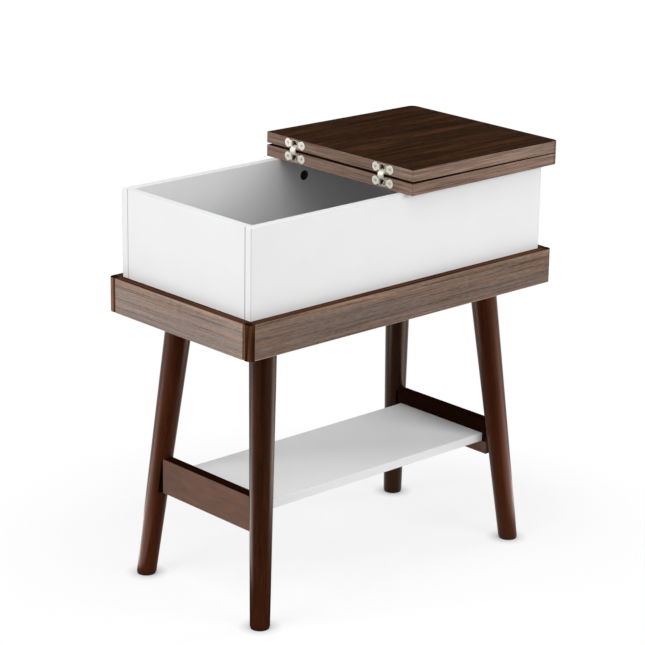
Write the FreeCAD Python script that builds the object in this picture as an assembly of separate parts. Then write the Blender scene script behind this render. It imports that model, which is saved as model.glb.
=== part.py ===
import FreeCAD, Part
import math
import os

Vector = FreeCAD.Vector
right = Vector(1, 0, 0)
back = Vector(0, 1, 0)
up = Vector(0, 0, 1)

# End table with a fold-over top, all lengths in millimetres.
# X runs along the table, Y from front to back, Z up from the floor.

# Top: two leaves, shown with the left leaf folded over onto the right one
top_length = 600.0
top_depth = 305.0
leaf_thickness = 17.0
joint_gap = 2.5
fold_gap = 3.0
fold_gap_far = 0.7
landing_gap = 0.3
top_corner_radius = 11.0
joint_edge_radius = 1.2
edge_band = 1.5
leaf_edge_radius = 0.5

# Apron round the foot of the box
top_overhang_ends = 5.5
top_overhang_sides = 0.75
apron_bottom = 405.0
apron_height = 51.0
apron_board = 14.5
apron_corner_radius = 7.0
apron_seam_radius = 4.5
apron_edge_radius = 0.6

# Storage box
box_wall = 12.0
box_rise = 128.0
base_thickness = 15.0
base_recess = 6.0
panel_edge_radius = 0.5

# Legs
leg_top_radius = 19.6
leg_foot_radius = 14.2
leg_inset_ends = 79.5
leg_inset_sides = 63.5
leg_splay_ends = 36.0
leg_splay_sides = 38.5
leg_foot_round = 0.9
foot_pad_thickness = 2.5
foot_pad_inset = 0.9
foot_nail_radius = 1.5
foot_nail_length = 14.0

# Leg plates and hanger bolts
plate_width = 60.0
plate_thickness = 2.5
plate_corner_radius = 6.0
plate_hole_inset = 8.0
bolt_radius = 4.0
bolt_in_leg = 45.0
bolt_in_base = 11.0
bolt_room = 2.5

# Stretchers between the legs at each end, and the shelf between them
stretcher_bottom = 132.0
stretcher_height = 52.5
stretcher_thickness = 16.5
stretcher_outset = -1.5
stretcher_seat = 13.0
stretcher_edge_radius = 0.6
stretcher_dowel_radius = 4.0
stretcher_dowel_in_board = 18.0
stretcher_dowel_in_leg = 15.0
shelf_depth = 176.0
shelf_thickness = 12.5
shelf_drop = 20.5
shelf_edge_radius = 0.5

# Cam locks and their dowels
cam_radius = 7.5
cam_depth = 10.3
cam_reach = 32.0
cam_slot_width = 2.0
cam_slot_length = 9.0
cam_slot_depth = 2.0
cam_dowel_radius = 3.4
cam_dowel_neck_radius = 2.4
cam_dowel_thread = 9.0
cam_dowel_head = 3.0
cam_dowel_past_centre = 2.5
top_cam_inset_joint = 49.5
top_cam_inset_end = 75.0
shelf_cam_inset = 32.0

# Screws
wood_screw_radius = 1.9
wood_screw_head_radius = 3.8
wood_screw_head_height = 2.2
wood_screw_tip = 4.0
apron_screw_length = 21.0
plate_screw_length = 13.0
base_screw_length = 40.0
hinge_screw_radius = 1.6
hinge_screw_head_radius = 3.4
hinge_screw_head_height = 1.9
hinge_screw_length = 16.0
recess_width = 0.9
recess_depth = 1.1

# Concealed link hinges in the leaves' meeting edges
hinge_inset = 60.5
ear_spacing = 29.5
ear_radius = 6.4
hinge_plate_thickness = 2.5
hinge_bar_inset = 2.0
pin_depth = 3.9
hinge_pin_radius = 1.2
link_width = 10.0
link_reach = 5.0
link_strap = 2.6
link_leg_half = 1.5
link_knuckle_radius = 2.2
pocket_side_room = 0.4
pocket_room = 0.45
hinge_cheek = 2.4
hinge_shell = 0.9
hinge_skin = 1.2
hinge_rib = 1.4
hinge_rib_spacing = 4.6
hinge_rib_height = 6.0

# Clearances
pin_running_fit = 0.06
seat_fit = 0.1
bore_fit = 0.05
bore_end_room = 0.5
cut_overrun = 2.0

# Where fasteners sit, as shares of the panel that they hold
apron_screw_long_shares = (-0.31, -0.12, 0.12, 0.31)
apron_screw_short_shares = (-0.33, 0.33)
base_screw_long_shares = (-0.42, -0.02, 0.42)
base_screw_short_shares = (-0.17, 0.17)
end_cam_height_shares = (0.32, 0.78)
stretcher_dowel_height_shares = (0.24, 0.76)
recess_length_share = 1.15

# Places worked out from the sizes above
apron_length = top_length - 2 * top_overhang_ends
apron_depth = top_depth - 2 * top_overhang_sides
apron_top = apron_bottom + apron_height
box_length = apron_length - 2 * apron_board
box_depth = apron_depth - 2 * apron_board
box_top = apron_top + box_rise
base_bottom = apron_bottom + base_recess
base_top = base_bottom + base_thickness
wall_height = box_top - base_top
plate_bottom = base_bottom - plate_thickness

leaf_length = (top_length - joint_gap) / 2
leaf_edge = joint_gap / 2
use_face = box_top + leaf_thickness
fold_plane = use_face + fold_gap / 2
hinge_offset = top_depth / 2 - hinge_inset

stretcher_top = stretcher_bottom + stretcher_height
stretcher_middle = stretcher_bottom + stretcher_height / 2
shelf_top = stretcher_top - shelf_drop
shelf_bottom = shelf_top - shelf_thickness

leg_head_x = apron_length / 2 - leg_inset_ends
leg_head_y = apron_depth / 2 - leg_inset_sides

pin_inset = pin_depth + (fold_gap - joint_gap) / 2
pin_x = leaf_edge + pin_inset
pin_z = use_face - pin_depth
flip_pin_z = use_face + fold_gap + pin_depth
fold_tilt = math.degrees(math.atan2(fold_gap - fold_gap_far, leaf_length - pin_inset))
quarter_turn = math.degrees(math.pi / 2)
link_length = 2 * pin_depth + fold_gap
link_outer_radius = link_length / 2 + link_leg_half
link_inner_radius = link_outer_radius - link_strap
link_centre_x = leaf_edge - link_reach + link_outer_radius


# Small tools for making shapes

def block(x0, x1, y0, y1, z0, z1):
    return Part.makeBox(x1 - x0, y1 - y0, z1 - z0, Vector(x0, y0, z0))


def rod(radius, start, direction, length):
    return Part.makeCylinder(radius, length, start, direction)


def fused(shapes):
    return shapes[0].multiFuse(shapes[1:]).removeSplitter()


def placed(shape, point, direction):
    moved = shape.copy()
    moved.Placement = FreeCAD.Placement(point, FreeCAD.Rotation(up, direction))
    return moved


def level_edges(solid, heights):
    # Edges that lie wholly at one of the given heights
    def lies_at(edge, height):
        return all(abs(v.Z - height) < bore_fit for v in edge.Vertexes)
    return [e for e in solid.Edges if any(lies_at(e, h) for h in heights)]


def upright_edges(solid, places):
    # Straight upright edges that stand at the given x and y places
    def stands_at(edge, place):
        ends = edge.Vertexes
        return len(ends) == 2 and all(
            math.hypot(v.X - place[0], v.Y - place[1]) < bore_fit for v in ends)
    return [e for e in solid.Edges if any(stands_at(e, p) for p in places)]


def board(x0, x1, y0, y1, z0, z1, edge_radius):
    # Flat board whose edges are all slightly eased
    solid = block(x0, x1, y0, y1, z0, z1)
    return solid.makeFillet(edge_radius, solid.Edges)


def write(name, solids):
    shape = solids[0] if len(solids) == 1 else Part.makeCompound(solids)
    shape.exportStep("parts/" + name + ".step")


# Fasteners

def cross_recess(head_radius):
    # Two crossed slots in a head that lies at the origin and points up
    half_length = recess_length_share * head_radius / 2
    half_width = recess_width / 2
    long_way = block(-half_length, half_length, -half_width, half_width, 0, recess_depth)
    cross_way = block(-half_width, half_width, -half_length, half_length, 0, recess_depth)
    return long_way.fuse(cross_way)


def wood_screw(point, direction, radius, head_radius, head_height, length):
    # Countersunk screw with a pointed tip, its flat head at the given point
    head = Part.makeCone(head_radius, radius, head_height)
    shank = Part.makeCylinder(radius, length - wood_screw_tip)
    tip = Part.makeCone(radius, 0, wood_screw_tip, Vector(0, 0, length - wood_screw_tip))
    return placed(fused([head, shank, tip]).cut(cross_recess(head_radius)), point, direction)


def screw_hole(point, direction, radius, head_radius, head_height, length):
    # Countersunk hole that the screw above drops into
    outer = head_radius + bore_fit
    sink = Part.makeCone(outer, radius + bore_fit, head_height + bore_fit)
    hole = Part.makeCylinder(radius + bore_fit, length + bore_end_room)
    return placed(sink.fuse(hole), point, direction)


def screw_set(places, radius, head_radius, head_height, length):
    sizes = (radius, head_radius, head_height, length)
    screws = [wood_screw(point, way, *sizes) for point, way in places]
    holes = [screw_hole(point, way, *sizes) for point, way in places]
    return screws, holes


def cam_lock(seat, pull, face, thickness):
    # Round lock let into a panel, with a cross slot in its face and a mouth for the dowel
    middle = seat + pull * cam_reach
    on_face = middle + face * (thickness / 2)
    body = rod(cam_radius, on_face - face * cam_depth, face, cam_depth)
    mouth = rod(cam_dowel_radius + seat_fit, middle + pull * (cam_dowel_past_centre + seat_fit),
                pull * -1, cam_radius + cam_reach)
    slot = block(-cam_slot_length / 2, cam_slot_length / 2, -cam_slot_width / 2, cam_slot_width / 2,
                 -cam_slot_depth, cut_overrun)
    cross = slot.fuse(slot.rotated(Vector(), up, quarter_turn))
    return body.cut([mouth, placed(cross, on_face, face)])


def cam_bores(seat, pull, face, thickness):
    # Holes for a lock and for the dowel that runs to it from the panel's edge
    on_face = seat + pull * cam_reach + face * (thickness / 2)
    depth = cam_depth + seat_fit
    pocket = rod(cam_radius + seat_fit, on_face - face * depth, face, depth + cut_overrun)
    run_length = cam_reach + cam_dowel_past_centre + seat_fit
    run = rod(cam_dowel_radius + seat_fit, seat - pull * cut_overrun, pull, run_length + cut_overrun)
    return [pocket, run]


def cam_dowel(seat, pull):
    # Threaded foot in one panel, slim neck, and the head that the lock grips
    neck_length = cam_reach + cam_dowel_past_centre - cam_dowel_head
    foot = rod(cam_dowel_radius, seat - pull * cam_dowel_thread, pull, cam_dowel_thread)
    neck = rod(cam_dowel_neck_radius, seat, pull, neck_length)
    head = rod(cam_dowel_radius, seat + pull * neck_length, pull, cam_dowel_head)
    return fused([foot, neck, head])


def cam_dowel_bore(seat, pull):
    depth = cam_dowel_thread + seat_fit
    return rod(cam_dowel_radius + bore_fit, seat - pull * depth, pull, depth)


# Places of the cam joints: where the dowel crosses the seam, which way the lock
# lies from there, and which way its face looks

def top_cam_places():
    from_joint = leaf_edge + top_cam_inset_joint
    from_end = leaf_edge + leaf_length - top_cam_inset_end
    wall_middle = box_depth / 2 - box_wall / 2
    return {side: [(Vector(x, sign * wall_middle, box_top), up * -1, back * -sign)
                   for x in (from_joint, from_end)]
            for side, sign in (("front", -1), ("back", 1))}


def end_cam_places():
    inner_face = box_depth / 2 - box_wall
    wall_middle = box_length / 2 - box_wall / 2
    heights = [base_top + share * wall_height for share in end_cam_height_shares]
    return {side: [(Vector(sign * wall_middle, edge * inner_face, z), back * -edge, right * -sign)
                   for edge in (-1, 1) for z in heights]
            for side, sign in (("left", -1), ("right", 1))}


def shelf_cam_places():
    middle = shelf_bottom + shelf_thickness / 2
    offset = shelf_depth / 2 - shelf_cam_inset
    return {side: [(Vector(sign * stretcher_inner, edge * offset, middle), right * -sign, up * -1)
                   for edge in (-1, 1)]
            for side, sign in (("left", -1), ("right", 1))}


def both(places):
    return [place for side in places.values() for place in side]


# Places of the screws: head point and driving direction

def apron_screw_places():
    z = (base_top + apron_top) / 2
    half_length = box_length / 2 - box_wall
    half_depth = box_depth / 2 - box_wall
    long_runs = {side: [(Vector(share * box_length, sign * half_depth, z), back * sign)
                        for share in apron_screw_long_shares]
                 for side, sign in (("front", -1), ("back", 1))}
    short_runs = {side: [(Vector(sign * half_length, share * box_depth, z), right * sign)
                         for share in apron_screw_short_shares]
                  for side, sign in (("left", -1), ("right", 1))}
    return {**long_runs, **short_runs}


def base_screw_places():
    wall_y = box_depth / 2 - box_wall / 2
    wall_x = box_length / 2 - box_wall / 2
    long_runs = {side: [(Vector(share * box_length, sign * wall_y, base_bottom), up)
                        for share in base_screw_long_shares]
                 for side, sign in (("front", -1), ("back", 1))}
    short_runs = {side: [(Vector(sign * wall_x, share * box_depth, base_bottom), up)
                         for share in base_screw_short_shares]
                  for side, sign in (("left", -1), ("right", 1))}
    return {**long_runs, **short_runs}


# Legs

leg_signs = {"front_left": (-1, -1), "front_right": (1, -1), "back_left": (-1, 1), "back_right": (1, 1)}


def leg_axis_at(signs, z):
    share = (apron_bottom - z) / apron_bottom
    return Vector(signs[0] * (leg_head_x + leg_splay_ends * share),
                  signs[1] * (leg_head_y + leg_splay_sides * share), z)


def leg_radius_at(z):
    return leg_foot_radius + (leg_top_radius - leg_foot_radius) * z / apron_bottom


def leg_direction(signs):
    return (leg_axis_at(signs, plate_bottom) - leg_axis_at(signs, 0)).normalize()


stretcher_centre = leg_axis_at((1, 1), stretcher_middle).x + stretcher_outset
stretcher_inner = stretcher_centre - stretcher_thickness / 2
stretcher_outer = stretcher_centre + stretcher_thickness / 2
stretcher_end = leg_axis_at((1, 1), stretcher_top).y - stretcher_seat


def stretcher_dowel_places(side_sign, end_sign):
    heights = [stretcher_bottom + share * stretcher_height for share in stretcher_dowel_height_shares]
    return [Vector(side_sign * stretcher_centre, end_sign * stretcher_end, z) for z in heights]


def stretcher_dowel(place, end_sign, extra):
    way = back * end_sign
    length = stretcher_dowel_in_board + stretcher_dowel_in_leg + 2 * extra
    start = place - way * (stretcher_dowel_in_board + extra)
    return rod(stretcher_dowel_radius + min(extra, bore_fit), start, way, length)


def leg(signs):
    # Tapered round leg, splayed both ways and cut level at its foot and head
    low = leg_axis_at(signs, -leg_top_radius)
    high = leg_axis_at(signs, plate_bottom + leg_top_radius)
    cone = Part.makeCone(leg_radius_at(low.z), leg_radius_at(high.z), (high - low).Length, low, high - low)
    reach = leg_head_x + leg_splay_ends + top_depth
    slab = block(-reach, reach, -reach, reach, foot_pad_thickness, plate_bottom)
    shape = cone.common(slab)
    shape = shape.makeFillet(leg_foot_round, level_edges(shape, [foot_pad_thickness]))

    # Flat along the leg for the end of the stretcher, with a shoulder above and below
    heights = (stretcher_bottom - seat_fit, stretcher_top + seat_fit)
    flat = [Vector(-reach, leg_axis_at(signs, z).y - signs[1] * stretcher_seat, z) for z in heights]
    inside = [Vector(-reach, 0, z) for z in heights]
    outline = Part.makePolygon([inside[0], flat[0], flat[1], inside[1], inside[0]])
    seat = Part.Face(outline).extrude(right * (2 * reach))
    dowel_holes = [stretcher_dowel(place, signs[1], bore_end_room)
                   for place in stretcher_dowel_places(signs[0], signs[1])]
    top = leg_axis_at(signs, plate_bottom)
    way = leg_direction(signs)
    depth = bolt_in_leg + bore_end_room
    bolt_hole = rod(bolt_radius + bore_fit, top - way * depth, way, depth + cut_overrun + bolt_radius)
    nail_hole = rod(foot_nail_radius + bore_fit, leg_axis_at(signs, 0), up,
                    foot_pad_thickness + foot_nail_length + bore_end_room)
    return shape.cut([seat, bolt_hole, nail_hole] + dowel_holes)


def foot_pad(signs):
    # Glide under the foot, held by a nail
    centre = leg_axis_at(signs, 0)
    disc = rod(leg_foot_radius - foot_pad_inset, centre, up, foot_pad_thickness)
    disc = disc.makeFillet(foot_pad_inset / 2, level_edges(disc, [0]))
    nail = rod(foot_nail_radius, centre + up * (foot_pad_thickness / 2), up,
               foot_pad_thickness / 2 + foot_nail_length)
    return fused([disc, nail])


def plate_corners(signs):
    centre = leg_axis_at(signs, plate_bottom)
    offset = plate_width / 2 - plate_hole_inset
    return [centre + right * (i * offset) + back * (j * offset) for i in (-1, 1) for j in (-1, 1)]


def leg_plate(signs):
    # Steel plate that carries the leg's bolt under the base panel
    centre = leg_axis_at(signs, plate_bottom)
    half = plate_width / 2
    solid = block(centre.x - half, centre.x + half, centre.y - half, centre.y + half,
                  plate_bottom, base_bottom)
    corners = [(centre.x + i * half, centre.y + j * half) for i in (-1, 1) for j in (-1, 1)]
    solid = solid.makeFillet(plate_corner_radius, upright_edges(solid, corners))
    way = leg_direction(signs)
    bolt_hole = rod(bolt_radius + bore_fit, centre - way * plate_width, way, 2 * plate_width)
    return solid.cut([bolt_hole] + plate_screw_holes[signs])


def leg_bolt(signs):
    top = leg_axis_at(signs, plate_bottom)
    way = leg_direction(signs)
    length = bolt_in_leg + plate_thickness + bolt_in_base
    bolt = rod(bolt_radius, top - way * bolt_in_leg, way, length)
    return bolt.makeChamfer(bolt_radius / 2, [e for e in bolt.Edges if len(e.Vertexes) == 1])


def leg_bolt_bore(signs):
    place = leg_axis_at(signs, base_bottom)
    return rod(bolt_radius + bolt_room, place, up, bolt_in_base + bore_end_room)


plate_screw_sizes = (wood_screw_radius, wood_screw_head_radius, wood_screw_head_height, plate_screw_length)
plate_screw_places = {signs: [(point, up) for point in plate_corners(signs)] for signs in leg_signs.values()}
plate_screws = {s: screw_set(p, *plate_screw_sizes)[0] for s, p in plate_screw_places.items()}
plate_screw_holes = {s: screw_set(p, *plate_screw_sizes)[1] for s, p in plate_screw_places.items()}

apron_screw_sizes = (wood_screw_radius, wood_screw_head_radius, wood_screw_head_height, apron_screw_length)
apron_screws = {side: screw_set(p, *apron_screw_sizes) for side, p in apron_screw_places().items()}
base_screw_sizes = (wood_screw_radius, wood_screw_head_radius, wood_screw_head_height, base_screw_length)
base_screws = {side: screw_set(p, *base_screw_sizes) for side, p in base_screw_places().items()}


# Stretchers and shelf

def stretcher(side, sign):
    edges = sorted((sign * stretcher_inner, sign * stretcher_outer))
    solid = board(edges[0], edges[1], -stretcher_end, stretcher_end, stretcher_bottom, stretcher_top,
                  stretcher_edge_radius)
    dowel_holes = [stretcher_dowel(place, end, bore_end_room)
                   for end in (-1, 1) for place in stretcher_dowel_places(sign, end)]
    cam_holes = [cam_dowel_bore(seat, pull) for seat, pull, face in shelf_cam_places()[side]]
    return solid.cut(dowel_holes + cam_holes)


def shelf():
    solid = board(-stretcher_inner, stretcher_inner, -shelf_depth / 2, shelf_depth / 2,
                  shelf_bottom, shelf_top, shelf_edge_radius)
    bores = [b for place in both(shelf_cam_places()) for b in cam_bores(*place, shelf_thickness)]
    return solid.cut(bores)


# Apron and box

def apron_long_board(side, sign):
    # Board across the front or back, its ends showing, rounded outside and beside the short boards
    outer_face = sign * apron_depth / 2
    inner_face = sign * (apron_depth / 2 - apron_board)
    faces = sorted((outer_face, inner_face))
    solid = block(-apron_length / 2, apron_length / 2, faces[0], faces[1], apron_bottom, apron_top)
    for radius, face in ((apron_corner_radius, outer_face), (apron_seam_radius, inner_face)):
        corners = [(end * apron_length / 2, face) for end in (-1, 1)]
        solid = solid.makeFillet(radius, upright_edges(solid, corners))
    solid = solid.makeFillet(apron_edge_radius, level_edges(solid, [apron_bottom, apron_top]))
    return solid.cut(apron_screws[side][1])


def apron_short_board(side, sign):
    faces = sorted((sign * apron_length / 2, sign * (apron_length / 2 - apron_board)))
    half = apron_depth / 2 - apron_board
    solid = board(faces[0], faces[1], -half, half, apron_bottom, apron_top, apron_edge_radius)
    return solid.cut(apron_screws[side][1])


def box_long_wall(side, sign):
    faces = sorted((sign * box_depth / 2, sign * (box_depth / 2 - box_wall)))
    solid = board(-box_length / 2, box_length / 2, faces[0], faces[1], base_top, box_top, panel_edge_radius)
    top_bores = [b for place in top_cam_places()[side] for b in cam_bores(*place, box_wall)]
    end_bores = [cam_dowel_bore(seat, pull) for seat, pull, face in both(end_cam_places())
                 if pull.y * sign < 0]
    return solid.cut(top_bores + end_bores + apron_screws[side][1] + base_screws[side][1])


def box_short_wall(side, sign):
    faces = sorted((sign * box_length / 2, sign * (box_length / 2 - box_wall)))
    half = box_depth / 2 - box_wall
    solid = board(faces[0], faces[1], -half, half, base_top, box_top, panel_edge_radius)
    bores = [b for place in end_cam_places()[side] for b in cam_bores(*place, box_wall)]
    return solid.cut(bores + apron_screws[side][1] + base_screws[side][1])


def box_base():
    solid = board(-box_length / 2, box_length / 2, -box_depth / 2, box_depth / 2,
                  base_bottom, base_top, panel_edge_radius)
    holes = [h for side in base_screws.values() for h in side[1]]
    holes += [h for side in plate_screw_holes.values() for h in side]
    holes += [leg_bolt_bore(signs) for signs in leg_signs.values()]
    return solid.cut(holes)


# Hinges: the lower half lies in the fixed leaf, and its mirror image in the folded leaf

housing_half = link_width / 2 + pocket_side_room + hinge_cheek
pocket_half = link_width / 2 + pocket_side_room
pocket_depth = pin_inset + link_knuckle_radius + pocket_room
pocket_floor = pin_z - (pin_inset + link_reach) - pocket_room
housing_depth = pocket_depth + hinge_shell
housing_floor = pocket_floor - hinge_shell
housing_top = use_face - hinge_skin - seat_fit
ear_height = use_face - leaf_thickness / 2
ear_places = [Vector(leaf_edge, i * ear_spacing / 2, ear_height) for i in (-1, 1)]
hinge_screw_sizes = (hinge_screw_radius, hinge_screw_head_radius, hinge_screw_head_height, hinge_screw_length)


def folded_over(shape):
    return shape.mirror(Vector(0, 0, fold_plane), up)


def laid_down(shape):
    # Turned about the folded leaf's pins, so that the leaf's free end rests low
    return shape.rotated(Vector(pin_x, 0, flip_pin_z), back, fold_tilt)


def at_hinges(shape):
    return [shape.translated(back * (i * hinge_offset)) for i in (-1, 1)]


def hinge_mortise():
    # Hollow in the leaf's edge that the hinge half is let into
    depth = hinge_plate_thickness + seat_fit
    ears = [rod(ear_radius + seat_fit, place - right * cut_overrun, right, depth + cut_overrun)
            for place in ear_places]
    bar = block(leaf_edge - cut_overrun, leaf_edge + depth, -ear_spacing / 2, ear_spacing / 2,
                ear_height - ear_radius + hinge_bar_inset - seat_fit,
                ear_height + ear_radius - hinge_bar_inset + seat_fit)
    housing = block(leaf_edge - cut_overrun, leaf_edge + housing_depth + seat_fit,
                    -housing_half - seat_fit, housing_half + seat_fit,
                    housing_floor - seat_fit, use_face - hinge_skin)
    return fused(ears + [bar, housing])


def hinge_half():
    # Two screw ears joined by a bar, and a housing with cheeks that hold the pin
    ears = [rod(ear_radius, place, right, hinge_plate_thickness) for place in ear_places]
    bar = block(leaf_edge, leaf_edge + hinge_plate_thickness, -ear_spacing / 2, ear_spacing / 2,
                ear_height - ear_radius + hinge_bar_inset, ear_height + ear_radius - hinge_bar_inset)
    housing = block(leaf_edge, leaf_edge + housing_depth, -housing_half, housing_half,
                    housing_floor, housing_top)
    pocket = block(leaf_edge - cut_overrun, leaf_edge + pocket_depth, -pocket_half, pocket_half,
                   pocket_floor, housing_top + cut_overrun)
    pin_hole = rod(hinge_pin_radius + bore_fit, Vector(pin_x, -housing_half - cut_overrun, pin_z), back,
                   2 * (housing_half + cut_overrun))
    sinks = [screw_hole(place, right, *hinge_screw_sizes) for place in ear_places]
    return fused([fused(ears + [bar, housing]).cut([pocket, pin_hole] + sinks)] + hinge_ribs())


def hinge_ribs():
    # Two ribs in the back corner of the pocket, hollowed to clear the swinging link
    sweep_centre = Vector(pin_x - link_length / 2, -housing_half, pin_z + link_centre_x - pin_x)
    sweep = rod(link_outer_radius + pocket_room, sweep_centre, back, 2 * housing_half)
    knuckle = rod(link_knuckle_radius + pocket_room, Vector(pin_x, -housing_half, pin_z), back,
                  2 * housing_half)
    ribs = []
    for i in (-1, 1):
        middle = i * hinge_rib_spacing / 2
        rib = block(leaf_edge, leaf_edge + pocket_depth, middle - hinge_rib / 2, middle + hinge_rib / 2,
                    pocket_floor, pocket_floor + hinge_rib_height)
        ribs.append(rib.cut([sweep, knuckle]))
    return ribs


def hinge_link():
    # Arched strap round the two pins, standing proud of the folded leaves' edges
    half = link_width / 2
    arch_start = Vector(link_centre_x, -half, fold_plane)
    arch = rod(link_outer_radius, arch_start, back, link_width)
    arch = arch.cut(rod(link_inner_radius, arch_start, back, link_width))
    arch = arch.common(block(leaf_edge - link_reach - cut_overrun, link_centre_x, -half, half,
                             fold_plane - link_outer_radius, fold_plane + link_outer_radius))
    leg_low = fold_plane - link_outer_radius
    strap = block(link_centre_x, pin_x, -half, half, leg_low, leg_low + link_strap)
    knuckle = rod(link_knuckle_radius, Vector(pin_x, -half, pin_z), back, link_width)
    hole = rod(hinge_pin_radius + pin_running_fit, Vector(pin_x, -half - cut_overrun, pin_z), back,
               link_width + 2 * cut_overrun)
    low_leg = fused([strap, knuckle])
    return fused([arch, low_leg, folded_over(low_leg)]).cut([hole, folded_over(hole)])


def hinge_pin():
    return rod(hinge_pin_radius, Vector(pin_x, -housing_half, pin_z), back, 2 * housing_half)


def hinge_screws():
    return [wood_screw(place, right, *hinge_screw_sizes) for place in ear_places]


def hinge_screw_holes():
    return [screw_hole(place, right, *hinge_screw_sizes) for place in ear_places]


# Leaves

def leaf_outline(inset, z0, z1):
    # Board with square corners at the joint and rounded ones at the far end
    x0 = leaf_edge + inset
    x1 = leaf_edge + leaf_length - inset
    half = top_depth / 2 - inset
    solid = block(x0, x1, -half, half, z0, z1)
    corners = [(x1, i * half) for i in (-1, 1)]
    return solid.makeFillet(top_corner_radius - inset, upright_edges(solid, corners))


def leaf(z0, z1, meeting_face, cutters):
    # Core and edge band of one leaf, with its meeting edge eased to clear the other leaf
    solid = leaf_outline(0, z0, z1)
    outline = level_edges(solid, [z0, z1])
    joint = [e for e in outline if all(abs(v.X - leaf_edge) < bore_fit for v in e.Vertexes)]
    others = [e for e in outline if not any(e.isSame(j) for j in joint)]
    solid = solid.makeFillet(leaf_edge_radius, others)
    wedge = joint_wedge(meeting_face, z0 + z1 > 2 * meeting_face)
    solid = solid.cut([wedge] + cutters)
    inner = leaf_outline(edge_band, z0 - cut_overrun, z1 + cut_overrun)
    return solid.common(inner), solid.cut(inner)


def joint_wedge(meeting_face, leaf_is_above):
    # What a quarter round takes off the meeting edge
    half = top_depth / 2 + cut_overrun
    inward = joint_edge_radius if leaf_is_above else -joint_edge_radius
    faces = sorted((meeting_face, meeting_face + inward))
    corner = block(leaf_edge, leaf_edge + joint_edge_radius, -half, half, faces[0], faces[1])
    round_middle = Vector(leaf_edge + joint_edge_radius, -half, meeting_face + inward)
    return corner.cut(rod(joint_edge_radius, round_middle, back, 2 * half))


def fixed_leaf():
    cutters = at_hinges(hinge_mortise())
    cutters += [h for hole in hinge_screw_holes() for h in at_hinges(hole)]
    cutters += [cam_dowel_bore(seat, pull) for seat, pull, face in both(top_cam_places())]
    return leaf(box_top, use_face, use_face, cutters)


def flip_leaf():
    cutters = at_hinges(folded_over(hinge_mortise()))
    cutters += [h for hole in hinge_screw_holes() for h in at_hinges(folded_over(hole))]
    meeting_face = use_face + fold_gap
    return leaf(meeting_face, meeting_face + leaf_thickness - landing_gap, meeting_face, cutters)


# Write one file for each piece

os.makedirs("parts", exist_ok=True)

for side, sign in (("front", -1), ("back", 1)):
    write("apron_" + side + "_board", [apron_long_board(side, sign)])
    write("box_" + side + "_panel", [box_long_wall(side, sign)])
for side, sign in (("left", -1), ("right", 1)):
    write("apron_" + side + "_board", [apron_short_board(side, sign)])
    write("box_" + side + "_panel", [box_short_wall(side, sign)])
    write(side + "_stretcher", [stretcher(side, sign)])
write("box_base_panel", [box_base()])
write("shelf_panel", [shelf()])

for place, signs in leg_signs.items():
    write(place + "_leg", [leg(signs)])
    write(place + "_leg_plate", [leg_plate(signs)])
write("foot_pads", [foot_pad(signs) for signs in leg_signs.values()])
write("leg_hanger_bolts", [leg_bolt(signs) for signs in leg_signs.values()])
write("leg_plate_screws", [s for screws in plate_screws.values() for s in screws])

write("apron_screws", [s for side in apron_screws.values() for s in side[0]])
write("base_screws", [s for side in base_screws.values() for s in side[0]])
write("stretcher_dowels", [stretcher_dowel(place, end, 0) for sign in (-1, 1) for end in (-1, 1)
                           for place in stretcher_dowel_places(sign, end)])
cam_sets = (("top", top_cam_places(), box_wall), ("box_corner", end_cam_places(), box_wall),
            ("shelf", shelf_cam_places(), shelf_thickness))
for name, places, thickness in cam_sets:
    write(name + "_cam_locks", [cam_lock(*place, thickness) for place in both(places)])
    write(name + "_cam_dowels", [cam_dowel(seat, pull) for seat, pull, face in both(places)])

fixed_core, fixed_band = fixed_leaf()
write("fixed_leaf", [fixed_core])
write("fixed_leaf_edge_band", [fixed_band])
flip_core, flip_band = flip_leaf()
write("flip_leaf", [laid_down(flip_core)])
write("flip_leaf_edge_band", [laid_down(flip_band)])

for side, half, link in zip(("front", "back"), at_hinges(hinge_half()), at_hinges(hinge_link())):
    write(side + "_hinge_fixed_half", [half])
    write(side + "_hinge_flip_half", [laid_down(folded_over(half))])
    write(side + "_hinge_link", [link])
write("hinge_fixed_pins", at_hinges(hinge_pin()))
write("hinge_flip_pins", at_hinges(folded_over(hinge_pin())))
all_hinge_screws = [s for screw in hinge_screws() for s in at_hinges(screw)]
write("hinge_fixed_screws", all_hinge_screws)
write("hinge_flip_screws", [laid_down(folded_over(screw)) for screw in all_hinge_screws])
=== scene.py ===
import math
import bpy
import numpy as np
from mathutils import Matrix, Vector


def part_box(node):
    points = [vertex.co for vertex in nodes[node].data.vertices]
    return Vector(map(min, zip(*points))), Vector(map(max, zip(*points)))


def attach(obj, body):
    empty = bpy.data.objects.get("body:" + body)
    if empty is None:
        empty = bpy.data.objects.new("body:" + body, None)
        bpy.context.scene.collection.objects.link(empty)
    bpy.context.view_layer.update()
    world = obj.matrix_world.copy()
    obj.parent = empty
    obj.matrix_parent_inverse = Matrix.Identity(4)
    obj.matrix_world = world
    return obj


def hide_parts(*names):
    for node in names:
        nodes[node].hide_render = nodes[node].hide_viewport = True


# Fold-over end table: walnut finishes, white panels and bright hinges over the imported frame, in metres
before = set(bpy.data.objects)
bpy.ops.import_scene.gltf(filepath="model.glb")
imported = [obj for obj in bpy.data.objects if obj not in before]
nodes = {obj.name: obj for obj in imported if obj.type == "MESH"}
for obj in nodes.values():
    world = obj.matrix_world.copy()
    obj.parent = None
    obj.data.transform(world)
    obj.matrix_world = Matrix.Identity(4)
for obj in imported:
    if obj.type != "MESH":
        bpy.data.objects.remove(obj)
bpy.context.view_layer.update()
print("frame loaded:", len(nodes), "nodes")


# Small tools for finishes

def tone(red, green, blue):  # a colour as a screen shows it, 0 to 255, made linear for the shader
    screen = np.array([red, green, blue]) / 255
    linear = np.where(screen <= 0.04045, screen / 12.92, ((screen + 0.055) / 1.055) ** 2.4)
    return (*linear.tolist(), 1.0)


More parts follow.
